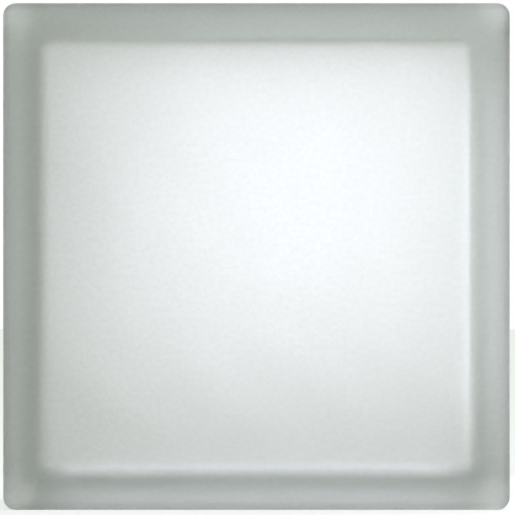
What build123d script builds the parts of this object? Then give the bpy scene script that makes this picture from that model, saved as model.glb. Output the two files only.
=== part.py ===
"""Square hollow glass block for masonry walls, satin on the outside and without a pattern.

Two trays of soda-lime glass are pressed face down, and their rims are melted and pushed
together, so the block is one sealed piece with a hollow inside. Each tray has a flat face,
a lip of the full size behind it, and a side wall that steps in behind the lip. The two
side walls make the mortar recess that runs round the block's four edges, and the melted
rims make a bead round its middle, outside and inside.

Millimetres, +Z up. The block stands on an edge, as it is laid in a wall. Its origin is on
the floor under its centre. The front face looks along -Y and the back face along +Y.
"""

import os
from math import radians, sqrt, tan

from build123d import *

# Overall size: the common metric block, which leaves a 10 mm joint in a 200 mm grid
block_width = 190.0
block_height = 190.0
block_depth = 80.0

# Lips, the two rims of the full size
lip_depth = 12.0
lip_corner_radius = 5.0
face_edge_radius = 3.0
lip_back_radius = 1.5

# Mortar recess between the lips, deepest at the seam
shoulder_depth = 5.0
recess_depth = 6.0
recess_corner_radius = 10.0
recess_foot_radius = 3.0
recess_draft = 2.0

# Hollow, narrowest at the face and widest at the seam
face_thickness = 8.0
rim_width = 13.0
hollow_corner_radius = 5.5
hollow_floor_radius = 4.5
hollow_draft = 2.0

# Bead of melted glass along the seam, which stands proud of both sides of the wall
bead_proud = 1.4
bead_width = 4.5

# Distances from the seam, which lies half way through the block, towards the front face
seam_plane = Plane.XZ.shift_origin((0, 0, block_height / 2))
half_depth = block_depth / 2
lip_back = half_depth - lip_depth
recess_foot = lip_back - shoulder_depth
hollow_floor = half_depth - face_thickness

# How far the draft moves each side of the wall on its way to the seam
recess_shift = recess_foot * tan(radians(recess_draft))
hollow_shift = hollow_floor * tan(radians(hollow_draft))

# Middle of the wall at the seam, half its thickness there, and its round corner
wall_inset = (recess_depth + recess_shift + rim_width - hollow_shift) / 2
half_wall = (rim_width - hollow_shift - recess_depth - recess_shift) / 2
wall_corner_radius = (recess_corner_radius - recess_shift + hollow_corner_radius + hollow_shift) / 2

# Half axes of the bead's oval section, from what shows of it beside the wall
bead_reach = half_wall + bead_proud
bead_half_width = bead_width / 2 / sqrt(1 - (half_wall / bead_reach) ** 2)

# A rim's round edge turns more tightly than the corner that it goes round
tightest = 0.9
same_place = 0.01


def outline(inset, radius):
    """The block's outline as a sketch, moved inwards by inset, with round corners."""
    return RectangleRounded(block_width - 2 * inset, block_height - 2 * inset, radius)


def rim(distance):
    """The tray's edges that lie at that distance from the seam."""
    return glass_block.edges().filter_by_position(
        Axis.Y, -distance - same_place, -distance + same_place
    )


def drafted(distance, inset, radius, angle):
    """A solid from that distance to the seam, whose sides lean outwards by the angle on the way."""
    start = seam_plane.offset(distance)
    with BuildPart() as form:
        with BuildSketch(start):
            outline(inset, radius)
        extrude(amount=-distance)
        draft(form.faces().filter_by(Axis.Y, reverse=True), start, angle)
    return form.part


with BuildPart() as glass_block:
    # Side wall of the front tray, which leans inwards from the foot of the shoulder
    add(drafted(recess_foot, recess_depth, recess_corner_radius, -recess_draft))

    # Shoulder, which steps out to the lip
    with BuildSketch(seam_plane.offset(recess_foot)):
        outline(recess_depth, recess_corner_radius)
    with BuildSketch(seam_plane.offset(lip_back)):
        outline(0, lip_corner_radius)
    loft(ruled=True)

    # Lip and face
    with BuildSketch(seam_plane.offset(lip_back)):
        outline(0, lip_corner_radius)
    extrude(amount=lip_depth)
    fillet(rim(half_depth), min(face_edge_radius, tightest * lip_corner_radius))
    fillet(rim(lip_back), min(lip_back_radius, tightest * lip_corner_radius))
    fillet(rim(recess_foot), recess_foot_radius)

    # Hollow, left by the plunger that presses the tray
    plunger = drafted(hollow_floor, rim_width, hollow_corner_radius, hollow_draft)
    add(plunger, mode=Mode.SUBTRACT)
    fillet(rim(hollow_floor), min(hollow_floor_radius, tightest * hollow_corner_radius))

    # The back tray is the same, turned round
    mirror(about=Plane.XZ)

    # Bead, an oval carried along the middle of the wall and melted into its two sides
    with BuildLine(seam_plane) as seam_line:
        x, z = block_width / 2 - wall_inset, block_height / 2 - wall_inset
        FilletPolyline(
            (x, -z), (x, z), (-x, z), (-x, -z), radius=wall_corner_radius, close=True
        )
    seam = seam_line.wire()
    outwards = (seam % 0).cross(seam_plane.z_dir)
    with BuildSketch(Plane(seam @ 0, x_dir=outwards, z_dir=seam % 0)):
        Ellipse(bead_reach, bead_half_width)
    sweep(path=seam)

glass_block.part.label = "glass_block"
os.makedirs("parts", exist_ok=True)
export_step(glass_block.part, "parts/glass_block.step")
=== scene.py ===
from math import radians

import bpy
import numpy as np
from bpy.props import FloatProperty, FloatVectorProperty, IntProperty, PointerProperty
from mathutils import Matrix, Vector


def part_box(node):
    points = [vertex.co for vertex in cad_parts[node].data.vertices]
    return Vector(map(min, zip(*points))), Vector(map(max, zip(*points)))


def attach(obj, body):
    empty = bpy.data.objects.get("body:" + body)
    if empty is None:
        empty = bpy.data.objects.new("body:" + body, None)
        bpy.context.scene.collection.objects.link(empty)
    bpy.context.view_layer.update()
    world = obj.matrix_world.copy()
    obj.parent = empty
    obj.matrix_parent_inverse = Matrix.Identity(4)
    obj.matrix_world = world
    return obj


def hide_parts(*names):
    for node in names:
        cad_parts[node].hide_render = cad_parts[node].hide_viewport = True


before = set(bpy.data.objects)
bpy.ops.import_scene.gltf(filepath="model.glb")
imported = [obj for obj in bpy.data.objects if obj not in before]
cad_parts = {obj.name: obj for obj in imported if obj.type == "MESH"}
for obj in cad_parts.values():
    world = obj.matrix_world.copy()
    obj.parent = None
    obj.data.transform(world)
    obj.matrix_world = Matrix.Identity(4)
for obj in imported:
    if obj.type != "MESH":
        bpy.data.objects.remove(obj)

bl_info = {
    "name": "Satin glass block",
    "version": (1, 0, 0),
    "blender": (4, 5, 0),
    "location": "3D View > Sidebar > Glass Block",
    "description": "Makes a hollow glass block with a satin etch, and a plain studio to show it in",
    "category": "Add Mesh",
}

MM = 0.001

# The block's overall size and place, from the frame
LOWEST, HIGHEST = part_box("glass_block")
CENTRE = (LOWEST + HIGHEST) / 2
WIDTH = HIGHEST.x - LOWEST.x
HALF_WIDTH = WIDTH / 2
HALF_DEPTH = (HIGHEST.y - LOWEST.y) / 2
HALF_HEIGHT = (HIGHEST.z - LOWEST.z) / 2

# Points along each stretch of the two profiles, in order from the middle of a face to the seam
FACE_POINTS = 16
EDGE_POINTS = 13
LIP_POINTS = 5
LIP_BACK_POINTS = 7
SHOULDER_POINTS = 3
FOOT_POINTS = 9
WALL_POINTS = 34
HOLLOW_FLOOR_POINTS = 34
HOLLOW_ROUND_POINTS = 13
HOLLOW_WALL_POINTS = 40

# How far points crowd towards the ends of a stretch: at 0 they are even, at 1 they follow a cosine
EVEN = 0
FACE_CROWDING = 0.9
HOLLOW_FLOOR_CROWDING = 0.6

# Seeds of the waves in the bead's outside and inside and in the pressed faces
OUTER_BEAD_SEED = 3
INNER_BEAD_SEED = 5
PRESSING_SEED = 11

# Share of its height that the bead has where it doesn't swell, which leaves room for the swell
BEAD_AT_REST = 0.93

# Share of the hollow's depth, next to its floor, in which the plunger's waves fade out
FLOOR_FADE = 0.1

# Range in which nearly all values of a noise pattern lie
NOISE_LOW = 0.3
NOISE_HIGH = 0.7

# The broad glow comes from the right, from behind and from above, and fades by a power of the cosine
GLOW_FROM = (1, 1, 1)
GLOW_POWER = 4.0

# From the middle of the floor to its sides, in metres
FLOOR_REACH = 4.0

# The panel behind the block shines at a point right of the block's middle and above it
PANEL_AIM = CENTRE + Vector((20, 0, 30)) * MM
PANEL_BEHIND = Vector((0, 220, 0)) * MM
PANEL_SIDE = 180 * MM

# The upright strip stands beside the block and a little behind it, and shines into its right recess
SIDE_STRIP_AIM = Vector((HIGHEST.x - 5 * MM, CENTRE.y, CENTRE.z))
SIDE_STRIP_AWAY = Vector((35, 35, 0)) * MM
SIDE_STRIP_WIDTH = 40 * MM
SIDE_STRIP_HEIGHT = 140 * MM

# The flat strip lies on the floor in the block's lower recess and shines up
UNDER_STRIP_PLACE = Vector((CENTRE.x, CENTRE.y, LOWEST.z + 1 * MM))
UNDER_STRIP_LENGTH = 150 * MM
UNDER_STRIP_DEPTH = 50 * MM

# The large lamp hangs above and in front
TOP_LAMP_PLACE = Vector((0, -1000, 1100)) * MM
TOP_LAMP_SIDE = 800 * MM

# Widths of the picture and of the block in it, and how far the block is off its middle, in pixels
PICTURE_WIDTH = 515
BLOCK_IN_PICTURE = 507.5
OFF_MIDDLE = 1

# Width of the camera's sensor in millimetres, and the nearest and farthest that it sees in metres
SENSOR_WIDTH = 36
NEAREST = 0.05
FARTHEST = 20


def linear(hex_colour):
    """The linear colour of an sRGB hex value such as "dfe8e4", by the sRGB curve."""
    shares = np.array([int(hex_colour[i:i + 2], 16) for i in (0, 2, 4)]) / 255
    return tuple(np.where(shares <= 0.04045, shares / 12.92, ((shares + 0.055) / 1.055) ** 2.4))


def length(name, description, millimetres):
    """A length whose default is that many millimetres."""
    return FloatProperty(
        name=name, description=description, default=millimetres * MM, min=0, unit="LENGTH", precision=4
    )


def colour(name, description, hex_colour):
    """A colour whose default is an sRGB hex value."""
    return FloatVectorProperty(
        name=name, description=description, default=linear(hex_colour), min=0, max=1, subtype="COLOR"
    )


def share(name, description, default):
    """A number from 0 to 1."""
    return FloatProperty(name=name, description=description, default=default, min=0, max=1)


def level(name, description, default, unit="NONE"):
    """A strength that can't be negative."""
    return FloatProperty(name=name, description=description, default=default, min=0, unit=unit)


def add_node(tree, kind, settings=None, inputs=None):
    """Adds a node, sets its properties, and sets or links its inputs."""
    node = tree.nodes.new(kind)
    for key, value in (settings or {}).items():
        setattr(node, key, value)
    for key, value in (inputs or {}).items():
        if isinstance(value, bpy.types.NodeSocket):
            tree.links.new(value, node.inputs[key])
        else:
            node.inputs[key].default_value = value
    return node


class BlockSizes(bpy.types.PropertyGroup):
    """Sizes of the pressed glass. The block's overall size comes from the frame."""

    lip_depth: length("Lip depth", "Width of each full-size rim", 12)
    lip_corner_radius: length("Lip corner radius", "Round corner of the block's outline", 5)
    face_edge_radius: length("Face edge radius", "Round between a face and its lip", 3)
    lip_back_radius: length("Lip back radius", "Round between a lip and its shoulder", 1.5)
    shoulder_depth: length("Shoulder depth", "Depth of the slope behind each lip", 5)
    recess_depth: length("Recess depth", "How far the mortar recess steps in", 6)
    recess_corner_radius: length("Recess corner radius", "Round corner of the recess at its foot", 10)
    recess_foot_radius: length("Recess foot radius", "Round between the shoulder and the wall", 3)
    recess_draft: length("Recess draft", "How much deeper the recess is at the seam", 0.8)
    face_thickness: length("Face thickness", "Thickness of each face", 8)
    rim_width: length("Rim width", "From the outline to the hollow, at the face", 13)
    hollow_corner_radius: length("Hollow corner radius", "Round corner of the hollow at the face", 5.5)
    hollow_floor_radius: length("Hollow floor radius", "Round between the face and the hollow's wall", 4.5)
    hollow_draft: length("Hollow draft", "How much wider the hollow is at the seam", 1.12)
    bead_proud: length("Bead height", "How far the melted bead stands off the wall", 1.4)
    bead_reach: length("Bead reach", "From the seam to where the bead dies out", 3.3)
    bead_wander: length("Bead wander", "How far the melted bead strays from its line", 0.18)
    bead_wander_pitch: length("Bead wander pitch", "Longest of the waves in the bead's line", 60)
    bead_swell: share("Bead swell", "How much the bead's height swells and shrinks", 0.1)
    bead_swell_pitch: length("Bead swell pitch", "Longest of the waves in the bead's height", 35)
    press_wave: length("Pressing wave", "Height of the waves that the plunger leaves inside", 0.12)
    press_pitch: length("Pressing pitch", "Longest of the waves that the plunger leaves inside", 70)
    side_points: IntProperty(
        name="Side points", description="Points along a straight side", default=40, min=4
    )
    corner_points: IntProperty(
        name="Corner points", description="Points round a corner", default=14, min=4
    )


class GlassLook(bpy.types.PropertyGroup):
    """Colours and finish of the glass."""

    tint: colour("Tint", "Colour that the glass lets through", "cfd6cf")
    tint_density: level("Tint density", "Strength of the tint, per metre of glass", 20)
    refraction: FloatProperty(
        name="Index of refraction", description="How much the glass bends light", default=1.52, min=1
    )
    etched_roughness: share("Etched roughness", "Roughness of the satin outside", 0.6)
    polished_roughness: share("Polished roughness", "Roughness of the melted inside", 0.03)
    patch_size: length("Patch size", "Size of the patches that the acid etched more or less", 18)
    patch_contrast: share("Patch contrast", "How much the roughness differs from patch to patch", 0.02)
    etch_grain: length("Etch grain", "Size of the clouds of grains that the acid leaves", 2)
    etch_mottle: share("Etch mottle", "Share of light that the densest grains hold back", 0.12)
    etch_relief: length("Etch relief", "Height of the clouds of grains", 0.15)
    relief_strength: share("Relief strength", "How strongly the relief turns the light", 0.5)


class StudioLook(bpy.types.PropertyGroup):
    """Colours and strengths of the studio."""

    backdrop: colour("Backdrop", "Colour that the camera sees behind the block", "ffffff")
    floor: colour("Floor", "Colour of the pale floor", "f4f4f3")
    floor_lift: level("Floor lift", "Light added to the floor where it is seen, which makes it white", 0.45)
    backdrop_by_glass: share("Backdrop by glass", "Share of the backdrop that gloss and glass show", 0.2)
    sky: colour("Sky", "Colour of the light from all round", "f8fff0")
    sky_level: level("Sky level", "Strength of the even light from all round", 0.36)
    behind_level: level("Behind level", "Strength of the broad glow from above, behind and the right", 0.56)
    lamps: colour("Lamps", "Colour of the lamps", "f1f1ff")
    panel_power: level("Panel power", "Power of the light panel close behind the block", 0.115, "POWER")
    under_power: level("Under power", "Power of the strip in the recess under the block", 0.0265, "POWER")
    side_power: level("Side power", "Power of the upright strip close by the right side", 0.042, "POWER")
    top_power: level("Top power", "Power of the large lamp above and in front", 5.3, "POWER")
    camera_distance: FloatProperty(
        name="Camera distance", description="From the lens to the block's front",
        default=1.6, min=0.2, unit="LENGTH"
    )


def arc(start, corner, end, radius, points):
    """Points of a round corner. Each is a row of inset, distance from the seam and corner radius.

    The round starts and ends on the two lines. From the corner to there is the radius divided by the
    tangent of half the angle between the lines. The first two values follow a true arc, and the third
    goes evenly from one end to the other.
    """
    start, corner, end = (np.array(p, float) for p in (start, corner, end))
    before = (start - corner) / np.linalg.norm((start - corner)[:2])
    after = (end - corner) / np.linalg.norm((end - corner)[:2])
    half_open = np.arccos(np.clip(before[:2] @ after[:2], -1, 1)) / 2
    reach = radius / np.tan(half_open)
    inwards = before[:2] + after[:2]
    middle = corner[:2] + inwards / np.linalg.norm(inwards) * radius / np.sin(half_open)
    along = np.linspace(0, 1, points)[:, None]
    first, last = corner + before * reach, corner + after * reach
    swing = np.pi - 2 * half_open
    from_middle = first[:2] - middle
    to_middle = last[:2] - middle
    round_points = middle + (
        np.sin((1 - along) * swing) * from_middle + np.sin(along * swing) * to_middle
    ) / np.sin(swing)
    radii = first[2] + along * (last[2] - first[2])
    return np.hstack([round_points, radii])


def line(start, end, points, crowding=1.0):
    """Points between start and end, both left out, part of the way from even spacing to a cosine's."""
    even = np.linspace(0, 1, points + 2)[1:-1, None]
    eased = (1 - np.cos(np.pi * even)) / 2
    along = even + (eased - even) * crowding
    return np.array(start) + along * (np.array(end) - np.array(start))


def outside_profile(size):
    """The outer surface of one tray, from its face's middle to the seam, and its point at the seam.

    Each row is an inset from the outline, a distance from the seam and a corner radius.
    """
    flat = (size.lip_corner_radius, HALF_DEPTH, 0)
    edge = (0, HALF_DEPTH, size.lip_corner_radius)
    lip_back = (0, HALF_DEPTH - size.lip_depth, size.lip_corner_radius)
    foot = (size.recess_depth, HALF_DEPTH - size.lip_depth - size.shoulder_depth, size.recess_corner_radius)
    seam = (size.recess_depth + size.recess_draft, 0, size.recess_corner_radius - size.recess_draft)

    face_round = arc(flat, edge, lip_back, size.face_edge_radius, EDGE_POINTS)
    back_round = arc(edge, lip_back, foot, size.lip_back_radius, LIP_BACK_POINTS)
    foot_round = arc(lip_back, foot, seam, size.recess_foot_radius, FOOT_POINTS)
    face_middle = (HALF_WIDTH, HALF_DEPTH, 0)
    return np.vstack([
        line(face_middle, face_round[0], FACE_POINTS, FACE_CROWDING), face_round,
        line(face_round[-1], back_round[0], LIP_POINTS), back_round,
        line(back_round[-1], foot_round[0], SHOULDER_POINTS), foot_round,
        line(foot_round[-1], seam, WALL_POINTS, EVEN),
    ]), seam


def inside_profile(size):
    """The hollow's surface in one tray, from its floor's middle to the seam, in the same rows."""
    floor_level = HALF_DEPTH - size.face_thickness
    flat = (size.rim_width + size.hollow_corner_radius, floor_level, 0)
    corner = (size.rim_width, floor_level, size.hollow_corner_radius)
    seam = (size.rim_width - size.hollow_draft, 0, size.hollow_corner_radius + size.hollow_draft)

    floor_round = arc(flat, corner, seam, size.hollow_floor_radius, HOLLOW_ROUND_POINTS)
    floor_middle = (HALF_WIDTH, floor_level, 0)
    return np.vstack([
        line(floor_middle, floor_round[0], HOLLOW_FLOOR_POINTS, HOLLOW_FLOOR_CROWDING), floor_round,
        line(floor_round[-1], seam, HOLLOW_WALL_POINTS, EVEN),
    ]), seam


def perimeter(size):
    """Once round a square of side 2, as its point and its normal at each step.

    A corner's steps stay on the square's corner while the normal turns. A point of a rounded square is
    the point of a smaller square plus the corner radius along the normal.
    """
    quarter = np.linspace(0, np.pi / 2, size.corner_points)
    along = np.linspace(-1, 1, size.side_points + 2)[1:-1]
    square, normal = [], []
    for turn in range(4):
        cos, sin = np.cos(turn * np.pi / 2).round(), np.sin(turn * np.pi / 2).round()
        side = np.column_stack([np.ones_like(along), along])
        side_normal = np.column_stack([np.ones_like(along), np.zeros_like(along)])
        corner = np.ones((len(quarter), 2))
        corner_normal = np.column_stack([np.cos(quarter), np.sin(quarter)])
        rotate = np.array([[cos, sin], [-sin, cos]])
        square.append(np.vstack([side, corner]) @ rotate)
        normal.append(np.vstack([side_normal, corner_normal]) @ rotate)
    return np.vstack(square), np.vstack(normal)


def waves(across, up, seed, longest, shortest_share=0.3, count=14):
    """Gentle waves between about -1 and 1: a sum of sines with seeded directions, phases and lengths."""
    draw = np.random.default_rng(seed)
    heading = draw.uniform(0, 2 * np.pi, count)
    phase = draw.uniform(0, 2 * np.pi, count)
    pitch = longest * draw.uniform(shortest_share, 1, count)
    total = np.zeros_like(across)
    for turn, start, span in zip(heading, phase, pitch):
        total += np.sin(2 * np.pi * (across * np.cos(turn) + up * np.sin(turn)) / span + start)
    return total / np.sqrt(count * 2)


def carried(size, profile, seam, bead_side, seed):
    """The profile of both trays carried once round the block, as a grid of x, y and z from its centre.

    A grid point is the square's point times what the inset and the corner radius leave of the block's
    half size, plus the corner radius along the normal, at the profile's distance from the seam. The
    bead adds a raised cosine of the distance, whose height and middle wander along the perimeter. Its
    side is 1 for a bead that stands outwards and -1 for one that stands into the hollow.
    """
    both = np.vstack([profile, [seam], profile[::-1] * (1, -1, 1)])
    inset, distance, radius = both.T[:, :, None]
    square, normal = perimeter(size)
    x = square[:, 0] * (HALF_WIDTH - inset - radius) + normal[:, 0] * radius
    z = square[:, 1] * (HALF_HEIGHT - inset - radius) + normal[:, 1] * radius
    y = -distance + np.zeros_like(x)

    wander = waves(x, z, seed, size.bead_wander_pitch) * size.bead_wander
    thicker = 1 + size.bead_swell * waves(x, z, seed + 1, size.bead_swell_pitch)
    off_line = np.clip(np.abs(y + wander) / size.bead_reach, 0, 1)
    height = bead_side * size.bead_proud * BEAD_AT_REST * thicker * (1 + np.cos(np.pi * off_line)) / 2
    x += height * normal[:, 0]
    z += height * normal[:, 1]
    return x, y, z


def shell_mesh(x, y, z, middle_level):
    """Points and faces of a closed shell from a grid.

    The grid closes round the perimeter, and fans of triangles close it at a middle point on each face.
    """
    rings, steps = x.shape
    grid = np.column_stack([x.ravel(), y.ravel(), z.ravel()])
    ends = np.array([[0, -middle_level, 0], [0, middle_level, 0]])
    ring, step = np.meshgrid(np.arange(rings - 1), np.arange(steps), indexing="ij")
    after = (step + 1) % steps
    here, beyond = ring * steps, (ring + 1) * steps
    quads = np.stack([here + step, beyond + step, beyond + after, here + after], axis=-1).reshape(-1, 4)
    step = np.arange(steps)
    after = (step + 1) % steps
    front = np.column_stack([np.full(steps, len(grid)), step, after])
    last = (rings - 1) * steps
    back = np.column_stack([np.full(steps, len(grid) + 1), last + after, last + step])
    return np.vstack([grid, ends]), quads, np.vstack([front, back])


def pressed_shapes(size):
    """Points and faces of the block's outer shell and of its hollow, and how many points are outside.

    The hollow's faces are turned round, so that they point out of the glass. The plunger's waves are
    added to the hollow's floor and die out on its walls.
    """
    outer, outer_seam = outside_profile(size)
    x, y, z = carried(size, outer, outer_seam, 1, OUTER_BEAD_SEED)
    outer_points, outer_quads, outer_fans = shell_mesh(x, y, z, HALF_DEPTH)

    floor_level = HALF_DEPTH - size.face_thickness
    inner, inner_seam = inside_profile(size)
    x, y, z = carried(size, inner, inner_seam, -1, INNER_BEAD_SEED)
    on_floor = np.clip((np.abs(y) / floor_level - (1 - FLOOR_FADE)) / FLOOR_FADE, 0, 1)
    y += size.press_wave * on_floor * waves(x, z + y, PRESSING_SEED, size.press_pitch)
    inner_points, inner_quads, inner_fans = shell_mesh(x, y, z, floor_level)
    inner_quads, inner_fans = inner_quads[:, ::-1], inner_fans[:, ::-1]

    outside = len(outer_points)
    faces = [
        *outer_quads.tolist(), *outer_fans.tolist(),
        *(inner_quads + outside).tolist(), *(inner_fans + outside).tolist(),
    ]
    return np.vstack([outer_points, inner_points]) + np.array(CENTRE), faces, outside


def etched_glass(look):
    """Soda-lime glass, pressed and then dipped in acid.

    The acid leaves a satin surface of fine grains, which blurs what is behind and shines softly. The
    hollow was never in the acid and stays as the melt left it, clear and smooth. A trace of iron gives
    a green-grey tint, which shows where light goes a long way through the glass, in the rim.
    """
    material = bpy.data.materials.new("acid_etched_soda_lime_glass")
    material.use_nodes = True
    tree = material.node_tree
    tree.nodes.clear()
    place = add_node(tree, "ShaderNodeTexCoord").outputs["Object"]
    etched = add_node(
        tree, "ShaderNodeAttribute", {"attribute_name": "etched", "attribute_type": "GEOMETRY"}
    ).outputs["Fac"]

    patches = add_node(tree, "ShaderNodeTexNoise", None, {
        "Vector": place, "Scale": 1 / look.patch_size, "Detail": 3.0
    }).outputs["Fac"]
    uneven = add_node(tree, "ShaderNodeMapRange", None, {
        "Value": patches, "From Min": NOISE_LOW, "From Max": NOISE_HIGH,
        "To Min": look.etched_roughness - look.patch_contrast,
        "To Max": look.etched_roughness + look.patch_contrast,
    }).outputs["Result"]
    roughness = add_node(tree, "ShaderNodeMix", {"data_type": "FLOAT"}, {
        "Factor": etched, "A": look.polished_roughness, "B": uneven
    }).outputs["Result"]

    # The grains are far too fine to show, so what is drawn is the clouds that they gather in
    grain = add_node(tree, "ShaderNodeTexNoise", None, {
        "Vector": place, "Scale": 1 / look.etch_grain, "Detail": 2.0, "Roughness": 0.7
    }).outputs["Fac"]
    mottled = add_node(tree, "ShaderNodeMapRange", None, {
        "Value": grain, "From Min": NOISE_LOW, "From Max": NOISE_HIGH,
        "To Min": 1.0, "To Max": 1 - look.etch_mottle,
    }).outputs["Result"]
    let_through = add_node(tree, "ShaderNodeMix", {"data_type": "FLOAT"}, {
        "Factor": etched, "A": 1.0, "B": mottled
    }).outputs["Result"]
    relief = add_node(tree, "ShaderNodeMath", {"operation": "MULTIPLY"}, {
        0: grain, 1: etched
    }).outputs["Value"]
    bump = add_node(tree, "ShaderNodeBump", None, {
        "Height": relief, "Distance": look.etch_relief, "Strength": look.relief_strength
    }).outputs["Normal"]

    glass = add_node(tree, "ShaderNodeBsdfPrincipled", None, {
        "Base Color": let_through, "Roughness": roughness, "IOR": look.refraction,
        "Transmission Weight": 1.0, "Normal": bump,
    })
    inside = add_node(tree, "ShaderNodeVolumeAbsorption", None, {
        "Color": (*look.tint, 1), "Density": look.tint_density
    })
    add_node(tree, "ShaderNodeOutputMaterial", None, {
        "Surface": glass.outputs["BSDF"], "Volume": inside.outputs["Volume"]
    })
    return material


class GLASS_OT_block(bpy.types.Operator):
    """Make the pressed block, its satin outside and its smooth hollow"""

    bl_idname = "glass.block"
    bl_label = "Glass block"

    def execute(self, context):
        points, faces, outside = pressed_shapes(context.scene.block_sizes)
        mesh = bpy.data.meshes.new("pressed_glass")
        mesh.from_pydata(points, [], faces)
        mesh.shade_smooth()
        etched = mesh.attributes.new("etched", "FLOAT", "POINT")
        etched.data.foreach_set("value", (np.arange(len(points)) < outside).astype(np.float32))
        mesh.materials.append(etched_glass(context.scene.glass_look))
        block = bpy.data.objects.new("pressed_glass", mesh)
        context.scene.collection.objects.link(block)
        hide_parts("glass_block")
        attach(block, "root")
        return {"FINISHED"}


def backdrop_seen(tree, by_glass):
    """How much of the white backdrop a ray sees: all from the camera, and a share by gloss or glass."""
    path = add_node(tree, "ShaderNodeLightPath").outputs
    glassy = add_node(tree, "ShaderNodeMath", {"operation": "MAXIMUM"}, {
        0: path["Is Glossy Ray"], 1: path["Is Transmission Ray"]
    }).outputs["Value"]
    return add_node(tree, "ShaderNodeMath", {"operation": "MULTIPLY_ADD"}, {
        0: glassy, 1: by_glass, 2: path["Is Camera Ray"]
    }).outputs["Value"]


def glow(tree, direction, tone, strength):
    """Light from one side of the sky, by a power of the cosine of the angle to the direction."""
    place = add_node(tree, "ShaderNodeTexCoord").outputs["Generated"]
    cosine = add_node(tree, "ShaderNodeVectorMath", {"operation": "DOT_PRODUCT"}, {
        0: place, 1: Vector(direction).normalized()
    }).outputs["Value"]
    facing = add_node(tree, "ShaderNodeMath", {"operation": "MAXIMUM"}, {
        0: cosine, 1: 0.0
    }).outputs["Value"]
    falloff = add_node(tree, "ShaderNodeMath", {"operation": "POWER"}, {
        0: facing, 1: GLOW_POWER
    }).outputs["Value"]
    amount = add_node(tree, "ShaderNodeMath", {"operation": "MULTIPLY"}, {
        0: falloff, 1: strength
    }).outputs["Value"]
    return add_node(tree, "ShaderNodeBackground", None, {
        "Color": (*tone, 1), "Strength": amount
    }).outputs["Background"]


def soft_surroundings(look):
    """The world: even light from all round and a broad glow, in front of a white backdrop."""
    world = bpy.data.worlds.new("soft_surroundings")
    world.use_nodes = True
    tree = world.node_tree
    tree.nodes.clear()
    even = add_node(tree, "ShaderNodeBackground", None, {
        "Color": (*look.sky, 1), "Strength": look.sky_level
    }).outputs["Background"]
    light = add_node(tree, "ShaderNodeAddShader", None, {
        0: even, 1: glow(tree, GLOW_FROM, look.sky, look.behind_level)
    }).outputs["Shader"]
    white = add_node(tree, "ShaderNodeBackground", None, {
        "Color": (*look.backdrop, 1), "Strength": 1.0
    }).outputs["Background"]
    shown = add_node(tree, "ShaderNodeMixShader", None, {
        0: backdrop_seen(tree, look.backdrop_by_glass), 1: light, 2: white
    }).outputs["Shader"]
    add_node(tree, "ShaderNodeOutputWorld", None, {"Surface": shown})
    return world


def matt_paper(look):
    """White background paper without any gloss, which keeps a soft shadow and is lifted to white."""
    material = bpy.data.materials.new("matt_paper")
    material.use_nodes = True
    tree = material.node_tree
    tree.nodes.clear()
    paper = add_node(tree, "ShaderNodeBsdfDiffuse", None, {"Color": (*look.floor, 1)}).outputs["BSDF"]
    lift = add_node(tree, "ShaderNodeMath", {"operation": "MULTIPLY"}, {
        0: backdrop_seen(tree, look.backdrop_by_glass), 1: look.floor_lift
    }).outputs["Value"]
    white = add_node(tree, "ShaderNodeEmission", None, {
        "Color": (*look.backdrop, 1), "Strength": lift
    }).outputs["Emission"]
    lifted = add_node(tree, "ShaderNodeAddShader", None, {0: paper, 1: white}).outputs["Shader"]
    add_node(tree, "ShaderNodeOutputMaterial", None, {"Surface": lifted})
    return material


def pale_floor(look):
    """The square floor that the block stands on."""
    mesh = bpy.data.meshes.new("pale_floor")
    corners = np.array([(-1, -1, 0), (1, -1, 0), (1, 1, 0), (-1, 1, 0)], float) * FLOOR_REACH
    mesh.from_pydata(corners + (0, 0, LOWEST.z), [], [(0, 1, 2, 3)])
    mesh.materials.append(matt_paper(look))
    floor = bpy.data.objects.new("pale_floor", mesh)
    bpy.context.scene.collection.objects.link(floor)


def lamp(name, place, aim, width, height, power, tone):
    """A soft rectangular lamp at a place, aimed at a point, which the camera doesn't see itself."""
    light = bpy.data.lights.new(name, "AREA")
    light.shape = "RECTANGLE"
    light.size, light.size_y = width, height
    light.energy, light.color = power, tone
    holder = bpy.data.objects.new(name, light)
    holder.location = place
    holder.rotation_euler = (aim - place).to_track_quat("-Z", "Y").to_euler()
    holder.visible_camera = False
    bpy.context.scene.collection.objects.link(holder)


def soft_lamps(look):
    """The panel behind the block, the strips close beside and under it, and the lamp above it."""
    lamp(
        "back_panel", PANEL_AIM + PANEL_BEHIND, PANEL_AIM, PANEL_SIDE, PANEL_SIDE,
        look.panel_power, look.lamps
    )
    lamp(
        "side_strip", SIDE_STRIP_AIM + SIDE_STRIP_AWAY, SIDE_STRIP_AIM, SIDE_STRIP_WIDTH, SIDE_STRIP_HEIGHT,
        look.side_power, look.lamps
    )
    lamp(
        "under_strip", UNDER_STRIP_PLACE, CENTRE, UNDER_STRIP_LENGTH, UNDER_STRIP_DEPTH,
        look.under_power, look.lamps
    )
    lamp("top_lamp", TOP_LAMP_PLACE, CENTRE, TOP_LAMP_SIDE, TOP_LAMP_SIDE, look.top_power, look.lamps)


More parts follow.
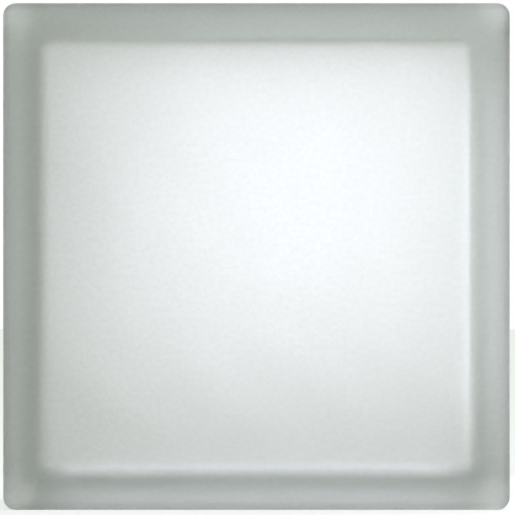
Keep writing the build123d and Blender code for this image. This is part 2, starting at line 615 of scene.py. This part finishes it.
def front_camera(look):
    """A level camera straight in front, in whose picture the block is as wide as in the photograph."""
    pixel = WIDTH / BLOCK_IN_PICTURE
    camera = bpy.data.cameras.new("camera")
    camera.sensor_width = SENSOR_WIDTH
    camera.lens = SENSOR_WIDTH * look.camera_distance / (PICTURE_WIDTH * pixel)
    camera.clip_start, camera.clip_end = NEAREST, FARTHEST
    holder = bpy.data.objects.new("camera", camera)
    off_middle = OFF_MIDDLE * pixel
    holder.location = (off_middle, LOWEST.y - look.camera_distance, CENTRE.z - off_middle)
    holder.rotation_euler = (radians(90), 0, 0)
    bpy.context.scene.collection.objects.link(holder)
    bpy.context.scene.camera = holder


class GLASS_OT_studio(bpy.types.Operator):
    """Make the pale floor, the soft light and the camera"""

    bl_idname = "glass.studio"
    bl_label = "Studio"

    def execute(self, context):
        look = context.scene.studio_look
        context.scene.view_settings.view_transform = "Standard"
        context.scene.world = soft_surroundings(look)
        pale_floor(look)
        soft_lamps(look)
        front_camera(look)
        return {"FINISHED"}


class GLASS_PT_panel(bpy.types.Panel):
    """Sizes and looks of the block, and the steps that make it"""

    bl_idname = "GLASS_PT_panel"
    bl_label = "Glass Block"
    bl_space_type = "VIEW_3D"
    bl_region_type = "UI"
    bl_category = "Glass Block"

    def draw(self, context):
        for group in (context.scene.block_sizes, context.scene.glass_look, context.scene.studio_look):
            box = self.layout.box()
            for name in group.__annotations__:
                box.prop(group, name)
        self.layout.operator(GLASS_OT_studio.bl_idname)
        self.layout.operator(GLASS_OT_block.bl_idname)


CLASSES = (BlockSizes, GlassLook, StudioLook, GLASS_OT_block, GLASS_OT_studio, GLASS_PT_panel)


def register():
    """Registers the classes, and gives the scene its sizes and looks."""
    for kind in CLASSES:
        bpy.utils.register_class(kind)
    bpy.types.Scene.block_sizes = PointerProperty(type=BlockSizes)
    bpy.types.Scene.glass_look = PointerProperty(type=GlassLook)
    bpy.types.Scene.studio_look = PointerProperty(type=StudioLook)


def unregister():
    """Takes away what register gave, in the opposite order."""
    del bpy.types.Scene.studio_look
    del bpy.types.Scene.glass_look
    del bpy.types.Scene.block_sizes
    for kind in reversed(CLASSES):
        bpy.utils.unregister_class(kind)


def main():
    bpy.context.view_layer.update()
    register()
    bpy.ops.glass.studio()
    bpy.ops.glass.block()


if __name__ == "__main__":
    main()
